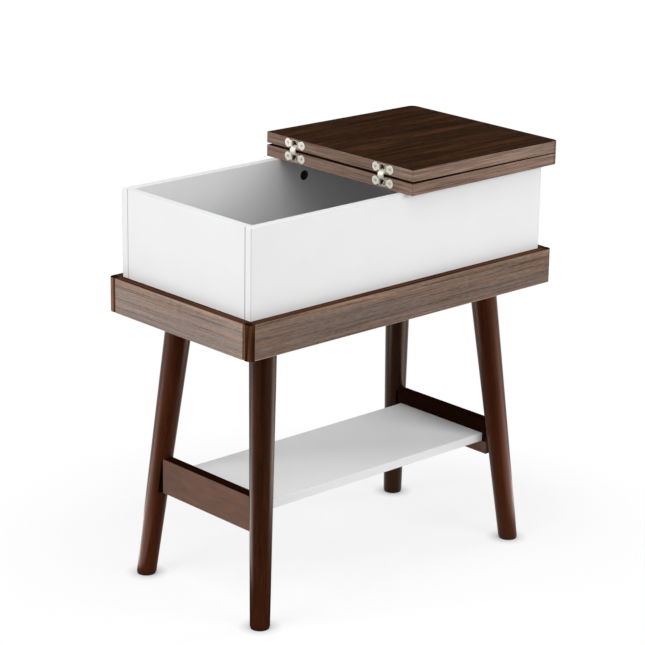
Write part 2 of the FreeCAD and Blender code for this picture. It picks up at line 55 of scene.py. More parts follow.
def emptyTree(owner):  # the node tree of a new material or world, with nothing in it yet
    owner.use_nodes = True
    owner.node_tree.nodes.clear()
    return owner.node_tree


def put(tree, kind, values=None, **settings):  # one shader node, its inputs linked or set
    made = tree.nodes.new("ShaderNode" + kind)
    for key, value in settings.items():
        setattr(made, key, value)
    for key, value in (values or {}).items():
        if isinstance(value, bpy.types.NodeSocket):
            tree.links.new(value, made.inputs[key])
        else:
            made.inputs[key].default_value = value
    return made


def sums(tree, how, first, second=0.0, third=0.0):
    return put(tree, "Math", {0: first, 1: second, 2: third}, operation=how).outputs[0]


def times(tree, first, second):
    return sums(tree, "MULTIPLY", first, second)


def awayFrom(tree, value, middle=0.0):  # how far off the middle, on either side of it
    return sums(tree, "ABSOLUTE", sums(tree, "SUBTRACT", value, middle))


def stepped(tree, value, start, end):  # 0 up to start, 1 past end, smooth between
    return put(tree, "MapRange", {0: value, 1: start, 2: end}, interpolation_type="SMOOTHSTEP").outputs[0]


def topFace(tree, height, top, depth):  # 1 on the face at the top of a board, 0 from depth below it
    return stepped(tree, height, top - depth, top - depth / 3)


def blended(tree, share, under, over):  # under becomes over where share is 1
    return put(tree, "Mix", {0: share, 6: under, 7: over}, data_type="RGBA").outputs[2]


def washed(tree, under, mask, share, over):  # a screen colour laid thinly over what the mask marks
    return blended(tree, times(tree, mask, share), under, tone(*over))


def ramped(tree, value, stops, tones):  # a scale of screen colours, read at value
    ramp = put(tree, "ValToRGB", {0: value})
    points = ramp.color_ramp.elements
    while len(points) < len(stops):
        points.new(0.5)
    for point, stop, colour in zip(points, stops, tones):
        point.position = stop
        point.color = tone(*colour)
    return ramp.outputs[0]


# A grain is its pitch along x, y and z, then the detail and roughness of its noise
def noisy(tree, place, pitch, detail, rough=0.5):
    spread = put(tree, "Mapping", {"Vector": place, "Scale": tuple(1 / length for length in pitch)})
    wanted = {"Vector": spread.outputs[0], "Scale": 1.0, "Detail": detail, "Roughness": rough}
    return put(tree, "TexNoise", wanted).outputs


def grainy(tree, place, *grain):
    return noisy(tree, place, *grain)[0]


def wandering(tree, place, pitch, amount):  # the same place, pushed about so that straight grain bends
    push = noisy(tree, place, pitch, 1.0)[1]
    centred = put(tree, "VectorMath", {0: push, 1: (0.5, 0.5, 0.5)}, operation="SUBTRACT")
    pushed = put(tree, "VectorMath", {0: centred.outputs[0], 1: amount, 2: place}, operation="MULTIPLY_ADD")
    return pushed.outputs[0]


def mingled(tree, coarse, fine, share):  # two patterns as one, the fine one by its share
    return sums(tree, "MULTIPLY_ADD", coarse, 1 - share, times(tree, fine, share))


# Bent grain in three sizes on a scale of tones: bands and streaks by their shares, then fibres to and fro
def veined(tree, place, wood):
    grain = {"bent": wandering(tree, place, *wood["bend"])}
    for key in ("bands", "streaks", "fibres"):
        grain[key] = grainy(tree, grain["bent"], *wood[key])
    mixed = mingled(tree, grain["bands"], grain["streaks"], wood["streakShare"])
    lowered = sums(tree, "SUBTRACT", mixed, wood["fibreWeight"] / 2)
    mixed = sums(tree, "MULTIPLY_ADD", grain["fibres"], wood["fibreWeight"], lowered)
    grain["colour"] = ramped(tree, mixed, wood["toneStops"], wood["tones"])
    return grain


def patches(tree, place, wood, name):  # 1 in the scattered patches of that name, 0 between them
    return stepped(tree, grainy(tree, place, *wood[name + "Grain"]), *wood[name + "Between"])


def patched(tree, colour, place, wood, name):  # those patches laid over a colour, in their own tone
    return washed(tree, colour, patches(tree, place, wood, name), wood[name + "Share"], wood[name])


# The place's x, y and z, and for each of them how near the box's two faces it lies: 1 on a face, 0 at width
def nearFaces(tree, place, low, high, width):
    parts = put(tree, "SeparateXYZ", {0: place}).outputs
    near = []
    for axis in range(3):
        half = (high[axis] - low[axis]) / 2
        away = awayFrom(tree, parts[axis], (low[axis] + high[axis]) / 2)
        near.append(stepped(tree, away, half - width, half - width / 4))
    return parts, near


def finish(name, shine=0.5, **sockets):  # a new material with one shader, and the place its patterns read
    material = bpy.data.materials.new(name)
    tree = emptyTree(material)
    shader = put(tree, "BsdfPrincipled", {"Specular IOR Level": shine, **sockets})
    put(tree, "OutputMaterial", {"Surface": shader.outputs[0]})
    return material, tree, shader, put(tree, "TexCoord").outputs["Object"]


def surfaced(tree, shader, colour, matt, mattRange, height, depth):  # colour, roughness and relief linked
    roughness = put(tree, "MapRange", {0: matt, 3: mattRange[0], 4: mattRange[1]})
    relief = put(tree, "Bump", {"Height": height, "Distance": depth, "Strength": 1.0})
    tree.links.new(colour, shader.inputs["Base Color"])
    tree.links.new(roughness.outputs[0], shader.inputs["Roughness"])
    tree.links.new(relief.outputs[0], shader.inputs["Normal"])


def dress(names, material):  # these nodes keep their shape and take the finish
    for name in names:
        for slot in nodes[name].material_slots:
            slot.material = material


# Apron boards: walnut veneer on the faces, dark top edges, rounded dark ends on the long boards
apron = {
    "long": {
        "tones": ((74, 61, 53), (112, 95, 84), (131, 111, 98), (160, 133, 114)),
        "ash": (92, 88, 87),
        "ashShare": 0.6,
        "lowAshShare": 0.6,   # ashier toward the lower edge
        "rust": (150, 98, 69),
        "rustShare": 0.55,
    },
    "short": {
        "tones": ((114, 98, 88), (145, 126, 114), (158, 138, 125), (183, 159, 144)),
        "ash": (123, 120, 120),
        "ashShare": 0.5,
        "lowAshShare": 0.75,
        "rust": (182, 132, 102),
        "rustShare": 0.45,
    },
    "toneStops": (0.33, 0.45, 0.55, 0.67),
    "bend": (0.28, 0.05, (0.003, 0.003, 0.0035)),   # pitches here run with the board, then across it
    "bands": (0.45, 0.008, 3.0),
    "streaks": (0.17, 0.0018, 2.0),
    "streakShare": 0.7,
    "fibres": (0.010, 0.0011, 1.0),
    "fibreWeight": 0.34,
    "ashGrain": (0.30, 0.0036, 2.0),
    "ashBetween": (0.48, 0.66),
    "rustGrain": (0.24, 0.0022, 2.0),
    "rustBetween": (0.52, 0.70),
    "pore": (74, 57, 48),
    "poreGrain": (0.007, 0.00045, 0.0),
    "poreBetween": (0.64, 0.74),
    "poreShare": 0.28,
    "arris": (186, 152, 130),
    "arrisWidth": 0.0014,
    "arrisShare": 0.85,
    "edgeTones": ((44, 26, 17), (74, 49, 36), (98, 69, 53)),
    "edgeStops": (0.34, 0.5, 0.68),
    "edgeDepth": 0.0006,
    "frontEnds": ((30, 15, 8), (64, 37, 22), (112, 76, 55)),
    "backEnds": ((96, 64, 48), (134, 97, 77), (158, 120, 98)),
    "endStops": (0.34, 0.5, 0.70),
    "endGrain": ((0.0022, 0.0022, 0.09), 2.0, 0.6),   # upright
    "endWidth": {"left": 0.0095, "right": 0.0045},    # veneer stops this far from the ends
    "endBlur": 0.0004,
    "frontSeam": (140, 104, 82),   # painted light and shade where the rounded end runs in toward the box: a painted highlight on the front board's end, painted shade on the back board's
    "backSeam": (62, 36, 25),
    "seamShare": 0.85,
    "bulgeWidth": 0.0068,
    "bulgeFade": 0.7,
    "notchShade": (34, 18, 11),
    "notchShadeLength": 0.013,
    "shine": 0.0,
    "mattRange": (0.42, 0.62),
    "relief": 0.00005,
}


def boardWood(along):  # the long boards' wood has its grain along x, the short boards' along y
    wood = {**apron, **apron["short" if along else "long"]}
    for key in ("bend", "bands", "streaks", "fibres", "ashGrain", "rustGrain", "poreGrain"):
        length, width, *rest = apron[key]
        pitch = [width, width, width]
        pitch[along] = length
        wood[key] = (tuple(pitch), *rest)
    return wood


# The ends of a long board: upright grain with a seam by the box, painted light and shade where the end
# rounds in toward it, and near-black notches in the edge above, painted shade of the groove
def boardEnds(tree, place, parts, side, low, high, face, edges):
    ends = ramped(tree, grainy(tree, place, *apron["endGrain"]), apron["endStops"], apron[side + "Ends"])
    # Painted light and shade: where the end rounds in toward the box it is painted lighter on the front
    # board and darker on the back board
    inner = min(abs(low[1]), abs(high[1])) + apron["bulgeWidth"]
    bulgeShading = stepped(tree, awayFrom(tree, parts[1]), inner, inner - apron["bulgeWidth"] * apron["bulgeFade"])
    ends = washed(tree, ends, bulgeShading, apron["seamShare"], apron[side + "Seam"])
    leftStart, rightStart = low[0] + apron["endWidth"]["left"], high[0] - apron["endWidth"]["right"]
    leftEnd = stepped(tree, parts[0], leftStart + apron["endBlur"], leftStart)
    rightEnd = stepped(tree, parts[0], rightStart - apron["endBlur"], rightStart)
    face = blended(tree, sums(tree, "MAXIMUM", leftEnd, rightEnd), face, ends)
    # Painted shade: the top edge is painted near-black over the groove at each end
    length = apron["notchShadeLength"]
    notchShade = stepped(tree, awayFrom(tree, parts[0]), high[0] - length, high[0] - length / 2)
    return face, blended(tree, notchShade, edges, tone(*apron["notchShade"]))


def apronVeneer(side, along):
    wood = boardWood(along)
    low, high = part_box("apron_" + side + "_board")
    material, tree, shader, place = finish("apronVeneer_" + side, wood["shine"])
    parts, near = nearFaces(tree, place, low, high, wood["arrisWidth"])
    grain = veined(tree, place, wood)
    face = grain["colour"]
    for name in ("ash", "rust"):
        face = patched(tree, face, grain["bent"], wood, name)
    lowDown = times(tree, stepped(tree, parts[2], high[2], low[2]), wood["lowAshShare"])
    face = washed(tree, face, lowDown, grain["bands"], wood["ash"])
    pores = patches(tree, grain["bent"], wood, "pore")
    face = washed(tree, face, pores, wood["poreShare"], wood["pore"])
    arris = times(tree, near[2], near[1 - along])
    face = washed(tree, face, arris, wood["arrisShare"], wood["arris"])
    edges = ramped(tree, grain["streaks"], wood["edgeStops"], wood["edgeTones"])
    if along == 0:  # only the long boards' ends show
        face, edges = boardEnds(tree, place, parts, side, low, high, face, edges)
    face = blended(tree, topFace(tree, parts[2], high[2], wood["edgeDepth"]), face, edges)
    height = sums(tree, "SUBTRACT", grain["fibres"], pores)
    surfaced(tree, shader, face, grain["streaks"], wood["mattRange"], height, wood["relief"])
    return material


for side, along in (("front", 0), ("back", 0), ("left", 1), ("right", 1)):
    dress(["apron_" + side + "_board"], apronVeneer(side, along))
print("apron boards finished")


# Top leaves: dark walnut laminate with streaks along the table
leaves = {
    "tones": ((40, 25, 16), (50, 33, 23), (59, 40, 29), (74, 50, 37)),
    "toneStops": (0.32, 0.46, 0.57, 0.74),
    "bend": ((0.25, 0.06, 0.06), (0.006, 0.006, 0.0)),
    "bands": ((0.22, 0.012, 0.05), 3.0),
    "streaks": ((0.07, 0.0028, 0.05), 3.0, 0.6),
    "streakShare": 0.4,
    "fibres": ((0.011, 0.0019, 0.05), 2.0),
    "fibreWeight": 0.5,
    "glow": (100, 60, 38),
    "glowGrain": ((0.16, 0.018, 0.05), 2.0),
    "glowBetween": (0.52, 0.74),
    "glowShare": 0.35,
    "shine": 0.0,
    "mattRange": (0.5, 0.66),
    "relief": 0.00005,
}


def laminate(tree, place):
    grain = veined(tree, place, leaves)
    grain["colour"] = patched(tree, grain["colour"], grain["bent"], leaves, "glow")
    return grain


def topLaminate():
    material, tree, shader, place = finish("topLaminate", leaves["shine"])
    grain = laminate(tree, place)
    surfaced(tree, shader, grain["colour"], grain["streaks"], leaves["mattRange"], grain["fibres"],
             leaves["relief"])
    return material


# Edge bands of the leaves: lighter veneer between thin skins of the laminate, with a joint by the free end
# and painted shade on the round past it
edgeBands = {
    "tones": ((86, 67, 58), (123, 101, 89), (137, 115, 103), (158, 137, 125)),
    "toneStops": (0.36, 0.46, 0.54, 0.64),
    "bend": ((0.2, 0.2, 0.04), (0.0, 0.0, 0.003)),
    "bands": ((0.2, 0.2, 0.006), 2.0),
    "streaks": ((0.09, 0.09, 0.0016), 3.0, 0.6),
    "streakShare": 0.65,
    "fibres": ((0.018, 0.018, 0.0006), 1.0),
    "fibreWeight": 0.16,
    "rust": (146, 106, 84),
    "rustGrain": ((0.12, 0.12, 0.0022), 2.0),
    "rustBetween": (0.5, 0.7),
    "rustShare": 0.28,
    "pore": (88, 68, 58),
    "poreGrain": ((0.006, 0.006, 0.0004), 0.0),
    "poreBetween": (0.63, 0.72),
    "poreShare": 0.4,
    "arris": (96, 62, 47),
    "arrisWidth": 0.0009,
    "arrisShare": 0.55,
    "cornerShare": 0.5,
    "jointReach": 0.0102,   # from the free end
    "jointWidth": 0.0014,
    "jointShare": 0.7,
    "turnShare": 0.35,      # painted shade: darker round the corner past the joint
    "skin": 0.00045,
    "shine": 0.0,
    "mattRange": (0.45, 0.62),
    "relief": 0.00005,
}


def leafBand(side):
    low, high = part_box(side + "_leaf_edge_band")
    material, tree, shader, place = finish("leafBand_" + side, edgeBands["shine"])
    parts, near = nearFaces(tree, place, low, high, edgeBands["arrisWidth"])
    grain = veined(tree, place, edgeBands)
    colour = patched(tree, grain["colour"], grain["bent"], edgeBands, "rust")
    pores = patches(tree, grain["bent"], edgeBands, "pore")
    colour = washed(tree, colour, pores, edgeBands["poreShare"], edgeBands["pore"])
    width = edgeBands["jointWidth"]
    beyond = sums(tree, "SUBTRACT", parts[0], high[0] - edgeBands["jointReach"])
    darker = {
        "arris": near[2],
        "corner": times(tree, near[0], near[1]),
        "joint": stepped(tree, awayFrom(tree, beyond), width, width / 3),
        "turn": stepped(tree, beyond, 0.0, width),
    }
    for name, mask in darker.items():
        colour = washed(tree, colour, mask, edgeBands[name + "Share"], edgeBands["arris"])
    away = awayFrom(tree, parts[2], (low[2] + high[2]) / 2)
    skin = topFace(tree, away, (high[2] - low[2]) / 2, edgeBands["skin"])
    colour = blended(tree, skin, colour, laminate(tree, place)["colour"])
    height = sums(tree, "SUBTRACT", grain["fibres"], pores)
    surfaced(tree, shader, colour, grain["streaks"], edgeBands["mattRange"], height, edgeBands["relief"])
    return material


dress(["fixed_leaf", "flip_leaf"], topLaminate())
for side in ("fixed", "flip"):
    dress([side + "_leaf_edge_band"], leafBand(side))
print("leaves finished")


# White melamine panels: faint orange peel, warm dark seams along the upright corners
panels = {
    "names": ["box_front_panel", "box_back_panel", "box_left_panel", "box_right_panel", "box_base_panel",
              "shelf_panel"],
    "whites": ((231, 231, 232), (233, 233, 233)),
    # Painted shade: the base inside the box is the same white melamine painted grey, standing in for the
    # shade in the box
    "shadedBaseWhites": ((160, 160, 162), (168, 168, 168)),
    "cloud": ((0.06, 0.06, 0.06), 3.0),
    "cloudStops": (0.3, 0.7),
    "peel": ((0.0016, 0.0016, 0.0016), 2.0),
    "shelfFaceLight": (249, 249, 249),
    "seam": (110, 97, 88),
    "seamWidth": 0.0011,
    "seamShare": 0.9,      # on the left and right panels
    "cornerShare": 0.45,   # on the others
    "shine": 0.05,
    "mattRange": (0.42, 0.56),
    "relief": 0.00002,
}


def whiteMelamine(panel):
    side = panel.split("_")[1]
    low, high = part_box(panel)
    material, tree, shader, place = finish("whiteMelamine_" + side, panels["shine"])
    parts, near = nearFaces(tree, place, low, high, panels["seamWidth"])
    whites = panels["shadedBaseWhites" if side == "base" else "whites"]
    colour = ramped(tree, grainy(tree, place, *panels["cloud"]), panels["cloudStops"], whites)
    if panel == "shelf_panel":  # painted light: its upper face is painted whiter than its edges, standing in for the light that falls on it
        face = stepped(tree, parts[2], high[2] - panels["seamWidth"] / 2, high[2])
        colour = blended(tree, face, colour, tone(*panels["shelfFaceLight"]))
    share = panels["seamShare" if side in ("left", "right") else "cornerShare"]
    colour = washed(tree, colour, times(tree, near[0], near[1]), share, panels["seam"])
    peel = grainy(tree, place, *panels["peel"])
    surfaced(tree, shader, colour, peel, panels["mattRange"], peel, panels["relief"])
    return material


for panel in panels["names"]:
    dress([panel], whiteMelamine(panel))
print("panels finished")


# Stretchers: smooth stained boards with fine mottling, near-black on top, and near-black painted shade on
# the inside face above the shelf
stretchers = {
    "tones": ((102, 78, 67), (110, 85, 74), (115, 89, 78), (121, 95, 84)),
    "toneStops": (0.28, 0.45, 0.56, 0.75),
    "mottle": ((0.02, 0.03, 0.008), 4.0, 0.6),
    "streaks": ((0.003, 0.06, 0.0014), 2.0, 0.6),
    "streakShare": 0.4,
    "rust": (124, 84, 66),
    "rustGrain": ((0.02, 0.04, 0.012), 3.0),
    "rustBetween": (0.48, 0.68),
    "rustShare": 0.45,
    "ash": (98, 84, 79),
    "ashGrain": ((0.03, 0.03, 0.009), 3.0),
    "ashBetween": (0.52, 0.7),
    "ashShare": 0.45,
    "backTone": (74, 57, 50),
    "backShare": 0.12,
    "innerShadeTone": (36, 21, 14),
    "edge": (34, 14, 6),
    "edgeDepth": 0.0006,
    "arris": (134, 107, 94),
    "arrisWidth": 0.0011,
    "arrisShare": 0.6,
    "shine": 0.0,
    "mattRange": (0.36, 0.5),
    "relief": 0.00004,
}
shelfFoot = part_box("shelf_panel")[0].z


def stretcherStain(side):
    low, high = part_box(side + "_stretcher")
    material, tree, shader, place = finish("stretcherStain_" + side, stretchers["shine"])
    parts, near = nearFaces(tree, place, low, high, stretchers["arrisWidth"])
    depth, width = stretchers["edgeDepth"], stretchers["arrisWidth"]
    edge = tone(*stretchers["edge"])
    streaks = grainy(tree, place, *stretchers["streaks"])
    mixed = mingled(tree, grainy(tree, place, *stretchers["mottle"]), streaks, stretchers["streakShare"])
    colour = ramped(tree, mixed, stretchers["toneStops"], stretchers["tones"])
    for name in ("rust", "ash"):
        colour = patched(tree, colour, place, stretchers, name)
    backward = stepped(tree, parts[1], 0.0, high[1])
    colour = washed(tree, colour, backward, stretchers["backShare"], stretchers["backTone"])
    reach = awayFrom(tree, parts[0])
    innermost = min(abs(low[0]), abs(high[0])) + depth
    # Painted shade: the inside face above the shelf is painted near-black, standing in for the shade there
    innerShade = times(tree, stepped(tree, reach, innermost, innermost - depth / 2),
                   stepped(tree, parts[2], shelfFoot - width, shelfFoot))
    colour = blended(tree, innerShade, colour, blended(tree, mixed, edge, tone(*stretchers["innerShadeTone"])))
    outer = sums(tree, "SUBTRACT", 1.0, stepped(tree, reach, innermost + width * 2, innermost))
    arris = times(tree, times(tree, near[2], near[0]), outer)
    colour = washed(tree, colour, arris, stretchers["arrisShare"], stretchers["arris"])
    colour = blended(tree, topFace(tree, parts[2], high[2], depth), colour, edge)
    surfaced(tree, shader, colour, streaks, stretchers["mattRange"], streaks, stretchers["relief"])
    return material


for side in ("left", "right"):
    dress([side + "_stretcher"], stretcherStain(side))
print("stretchers finished")


# Legs: round tapered sticks of stained wood, splayed both ways
legs = {
    "signs": {"front_left": (-1, -1), "front_right": (1, -1), "back_left": (-1, 1), "back_right": (1, 1)},
    "red": {"front_left": 0.1, "front_right": 0.5, "back_left": 0.47, "back_right": 0.0},   # partly the woods differing, partly painted light: the better-lit legs are painted lighter and redder
    # Painted shade: each leg's share of the near-black seat tone, standing in for the shade on the back
    # right leg
    "dark": {"front_left": 0.0, "front_right": 0.05, "back_left": 0.0, "back_right": 0.5},
    "headRadius": 0.0196,   # at the underside of the apron
    "footRadius": 0.0142,   # on the floor
    "footRound": 0.0009,
    "seatRoom": 0.0001,
    "seatOff": 0.013,       # from the leg's axis to the flat that the stretcher meets
    "around": 96,
    "upRound": 7,           # rings in the rounded foot, then below, beside and above the stretcher
    "upLow": 40,
    "upSeat": 12,
    "upHigh": 48,
    "sharpAngle": 38,
    "tones": ((24, 10, 4), (33, 14, 6), (41, 18, 8), (56, 27, 14)),
    "toneStops": (0.33, 0.45, 0.55, 0.68),
    "bend": ((0.03, 0.03, 0.12), (0.003, 0.003, 0.0)),
    "bands": ((0.007, 0.007, 0.07), 3.0),
    "fibres": ((0.0012, 0.0012, 0.02), 2.0, 0.6),
    "fibreShare": 0.4,
    "redTones": ((58, 23, 9), (100, 46, 22)),
    "fleck": (18, 8, 4),
    "fleckGrain": ((0.0011, 0.0011, 0.006), 1.0),
    "fleckBetween": (0.6, 0.72),
    "fleckShare": 0.4,
    # Painted shade: near-black on the flat where the stretcher meets the leg, standing in for the shade in
    # that seat
    "seatShadeTone": (18, 8, 4),
    "footLightTone": (78, 39, 21),   # painted light: lighter and redder low down, standing in for the light off the floor
    "footLightFrom": 0.30,
    "footLightShare": 0.55,
    "shine": 0.2,
    "shineTint": (255, 204, 170),
    "mattRange": (0.24, 0.34),
    "relief": 0.00002,
}
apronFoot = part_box("apron_front_board")[0].z


def legAxis(place, signs):  # middle of the glide on the floor, and middle of the plate over the leg's head
    mesh = nodes["foot_pads"].data
    pads = np.empty(len(mesh.vertices) * 3)
    mesh.vertices.foreach_get("co", pads)
    pads = pads.reshape(-1, 3)
    mine = pads[(np.sign(pads[:, :2]) == signs).all(1)]
    foot = np.append((mine.min(0) + mine.max(0))[:2] / 2, 0.0)
    low, high = (np.array(corner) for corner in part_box(place + "_leg_plate"))
    head = np.append((low + high)[:2] / 2, low[2])
    return foot, head


# A ring at each height is the level slice of a leaning cone: its middle lies on the axis, it is as wide as
# the cone across the lean and 1 / cos(lean) wider along it. Beside the stretcher's end the ring is cut flat,
# at a fixed distance from the axis.
def legSurface(place, signs):
    foot, head = legAxis(place, signs)
    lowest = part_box(place + "_leg")[0].z
    seatLow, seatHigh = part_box(("left" if signs[0] < 0 else "right") + "_stretcher")
    seatBottom, seatTop = seatLow.z - legs["seatRoom"], seatHigh.z + legs["seatRoom"]
    turn = np.linspace(0, np.pi / 2, legs["upRound"])
    rounded = lowest + legs["footRound"] * (1 - np.cos(turn))
    below = np.linspace(rounded[-1], seatBottom, legs["upLow"])[1:]
    seat = np.linspace(seatBottom, seatTop, legs["upSeat"])
    above = np.linspace(seatTop, head[2], legs["upHigh"])
    heights = np.concatenate([rounded, below, seat, above])
    inset = np.zeros(len(heights))
    inset[:len(rounded)] = legs["footRound"] * (1 - np.sin(turn))
    beside = np.repeat([False, True, False], [len(rounded) + len(below), len(seat), len(above)])[:, None]

    axis = (head - foot) / np.linalg.norm(head - foot)
    leanWay = np.array([axis[0], axis[1], 0]) / np.hypot(axis[0], axis[1])
    sideWay = np.array([-leanWay[1], leanWay[0], 0])
    radius = legs["footRadius"] + (legs["headRadius"] - legs["footRadius"]) * heights / apronFoot - inset
    middle = foot + (head - foot) * (heights / head[2])[:, None]
    angle = np.linspace(0, 2 * np.pi, legs["around"], endpoint=False)
    along = np.cos(angle)[None, :, None] * leanWay / axis[2]
    sideways = np.sin(angle)[None, :, None] * sideWay
    rings = middle[:, None, :] + radius[:, None, None] * (along + sideways)
    flat = (np.abs(middle[:, 1]) - legs["seatOff"])[:, None]
    trimmed = signs[1] * np.maximum(signs[1] * rings[..., 1], flat)
    seated = beside & (trimmed != rings[..., 1])
    rings[..., 1] = np.where(seated, trimmed, rings[..., 1])
    grain = np.stack([radius[:, None] * np.cos(angle), radius[:, None] * np.sin(angle),
                      np.repeat(heights[:, None], len(angle), 1)], -1)
    return rings, np.append(middle[0, :2], lowest), head, grain, seated


# Rows of points round an axis, joined row to row and closed by a fan at each end
def closedSkin(name, rings, startPole, endPole):
    rows, columns = rings.shape[:2]
    index = np.arange(rows * columns).reshape(rows, columns)
    onward = np.roll(index, -1, 1)
    quads = np.stack([index[:-1], onward[:-1], onward[1:], index[1:]], -1).reshape(-1, 4)
    start = np.stack([np.full(columns, rows * columns), onward[0], index[0]], -1)
    end = np.stack([np.full(columns, rows * columns + 1), index[-1], onward[-1]], -1)
    points = np.concatenate([rings.reshape(-1, 3), [startPole], [endPole]])
    mesh = bpy.data.meshes.new(name)
    mesh.from_pydata(points.tolist(), [], quads.tolist() + start.tolist() + end.tolist())
    mesh.polygons.foreach_set("use_smooth", np.ones(len(mesh.polygons), bool))
    mesh.set_sharp_from_angle(angle=math.radians(legs["sharpAngle"]))
    mesh.update()
    piece = bpy.data.objects.new(name, mesh)
    bpy.context.scene.collection.objects.link(piece)
    return piece


def mark(piece, name, values):  # a number or a vector at each point, for the material to read
    kind, field = ("FLOAT_VECTOR", "vector") if values.ndim == 2 else ("FLOAT", "value")
    attribute = piece.data.attributes.new(name, kind, "POINT")
    attribute.data.foreach_set(field, values.astype(np.float32).ravel())


def legStain():
    tint = tone(*legs["shineTint"])
    material, tree, shader = finish("legStain", legs["shine"], **{"Specular Tint": tint})[:3]
    place = put(tree, "Attribute", attribute_name="grainPlace").outputs["Vector"]
    red = put(tree, "Attribute", attribute_name="redAndLightShare").outputs["Fac"]
    seat = put(tree, "Attribute", attribute_name="seatShadeShare").outputs["Fac"]
    height = put(tree, "SeparateXYZ", {0: place}).outputs[2]
    bent = wandering(tree, place, *legs["bend"])
    fibres = grainy(tree, bent, *legs["fibres"])
    mixed = mingled(tree, grainy(tree, bent, *legs["bands"]), fibres, legs["fibreShare"])
    colour = ramped(tree, mixed, legs["toneStops"], legs["tones"])
    redder = blended(tree, mixed, *(tone(*colour) for colour in legs["redTones"]))
    # Each leg is painted lighter and redder by its share: partly its own wood, partly painted light
    colour = blended(tree, red, colour, redder)
    colour = patched(tree, colour, place, legs, "fleck")
    # Painted light: the legs are painted lighter and redder toward the floor
    thin = times(tree, stepped(tree, height, legs["footLightFrom"], 0.0), legs["footLightShare"])
    colour = washed(tree, colour, thin, mixed, legs["footLightTone"])
    # Painted shade: the stretcher's seat, and the shaded legs by their share, are painted near-black
    colour = blended(tree, seat, colour, tone(*legs["seatShadeTone"]))
    surfaced(tree, shader, colour, fibres, legs["mattRange"], fibres, legs["relief"])
    return material


stain = legStain()
for place, signs in legs["signs"].items():
    rings, startPole, endPole, grain, seated = legSurface(place, signs)
    leg = closedSkin(place + "_turned_leg", rings, startPole, endPole)
    places = np.concatenate([grain.reshape(-1, 3), [[0, 0, startPole[2]], [0, 0, endPole[2]]]])
    mark(leg, "grainPlace", places)
    mark(leg, "redAndLightShare", np.full(len(places), legs["red"][place]))
    mark(leg, "seatShadeShare", np.maximum(np.append(seated, [0, 0]), legs["dark"][place]))
    leg.data.materials.append(stain)
    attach(leg, "table")
    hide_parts(place + "_leg")
print("legs turned")


# Metal and small fittings; the plating of the hinges and their screws is part mirror, part matt
fittings = {
    "nickel": {"bright": (246, 243, 232), "dull": (230, 225, 210), "rough": 0.42, "mirror": 0.45},
    "screw": {"bright": (232, 231, 222), "dull": (212, 211, 200), "rough": 0.42, "mirror": 0.45},
    "pin": {"bright": (232, 231, 222), "dull": (212, 211, 200), "rough": 0.3, "mirror": 1.0},
    "zinc": {"bright": (176, 176, 172), "dull": (150, 150, 148), "rough": 0.35, "mirror": 1.0},
    "cloud": ((0.004, 0.004, 0.004), 3.0),
    "cloudStops": (0.3, 0.65),
    "scratch": ((0.0004, 0.003, 0.0004), 1.0),
    "scratchSpread": (0.8, 1.3),       # of the roughness
    "metalRelief": 0.00003,
    "houseShade": (124, 106, 78),           # painted shade: darker between the two ears, where the pocket and the link shade the plate
    "houseShadeReach": (0.0084, 0.00672),   # from the hinge's middle, where it starts and where it is full
    "houseShadeShare": 0.6,
    # Painted shade in the pocket, from these depths inward
    "pocket": (84, 74, 58),
    "pocketDepth": (0.0018, 0.0028),
    "ribPlace": 0.0023,
    "ribHalf": 0.0008,
    "ribBlur": 0.0003,
    "recessShade": (150, 152, 150),
    "recessShadeReach": (0.00135, 0.0009),
    "screwHead": 0.0034,
    "earSpacing": 0.0295,
    "lock": (30, 29, 29),
    "glide": (26, 17, 12),
    "speckle": ((0.0006, 0.0006, 0.0006), 2.0),
    "speckleStops": (0.35, 0.8),
    "speckleLift": 14,
    "plasticShine": 0.3,
    "plasticMatt": (0.45, 0.6),
    "plasticRelief": 0.00002,
    "beech": ((176, 138, 96), (204, 168, 124)),
    "beechStops": (0.3, 0.7),
    "beechLines": ((0.0012, 0.03, 0.0012), 3.0),
    "beechMatt": (0.5, 0.7),
    "beechRelief": 0.00004,
}


def platedMetal(name, metal, shading=None, node=None):  # shading lays painted shade over the plating by where it is on a node
    material, tree, shader, place = finish(name, Metallic=metal["mirror"])
    cloud = grainy(tree, place, *fittings["cloud"])
    scratch = grainy(tree, place, *fittings["scratch"])
    colour = ramped(tree, cloud, fittings["cloudStops"], (metal["dull"], metal["bright"]))
    if shading:
        parts = put(tree, "SeparateXYZ", {0: place}).outputs
        colour = shading(tree, parts, colour, *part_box(node))
    mattRange = [metal["rough"] * spread for spread in fittings["scratchSpread"]]
    surfaced(tree, shader, colour, scratch, mattRange, cloud, fittings["metalRelief"])
    return material


def hingePocketShade(tree, parts, colour, low, high):  # painted shade: dark in the pocket, but for the two ribs that stand in it
    beside = awayFrom(tree, awayFrom(tree, parts[1]), (low[1] + high[1]) / 2)
    half = fittings["ribHalf"]
    rib = stepped(tree, awayFrom(tree, beside, fittings["ribPlace"]), half + fittings["ribBlur"], half)
    offRibs = sums(tree, "SUBTRACT", 1.0, rib)
    houseShade = times(tree, stepped(tree, beside, *fittings["houseShadeReach"]), offRibs)
    colour = washed(tree, colour, houseShade, fittings["houseShadeShare"], fittings["houseShade"])
    deepShade = stepped(tree, parts[0], *(low[0] + depth for depth in fittings["pocketDepth"]))
    return washed(tree, colour, deepShade, offRibs, fittings["pocket"])


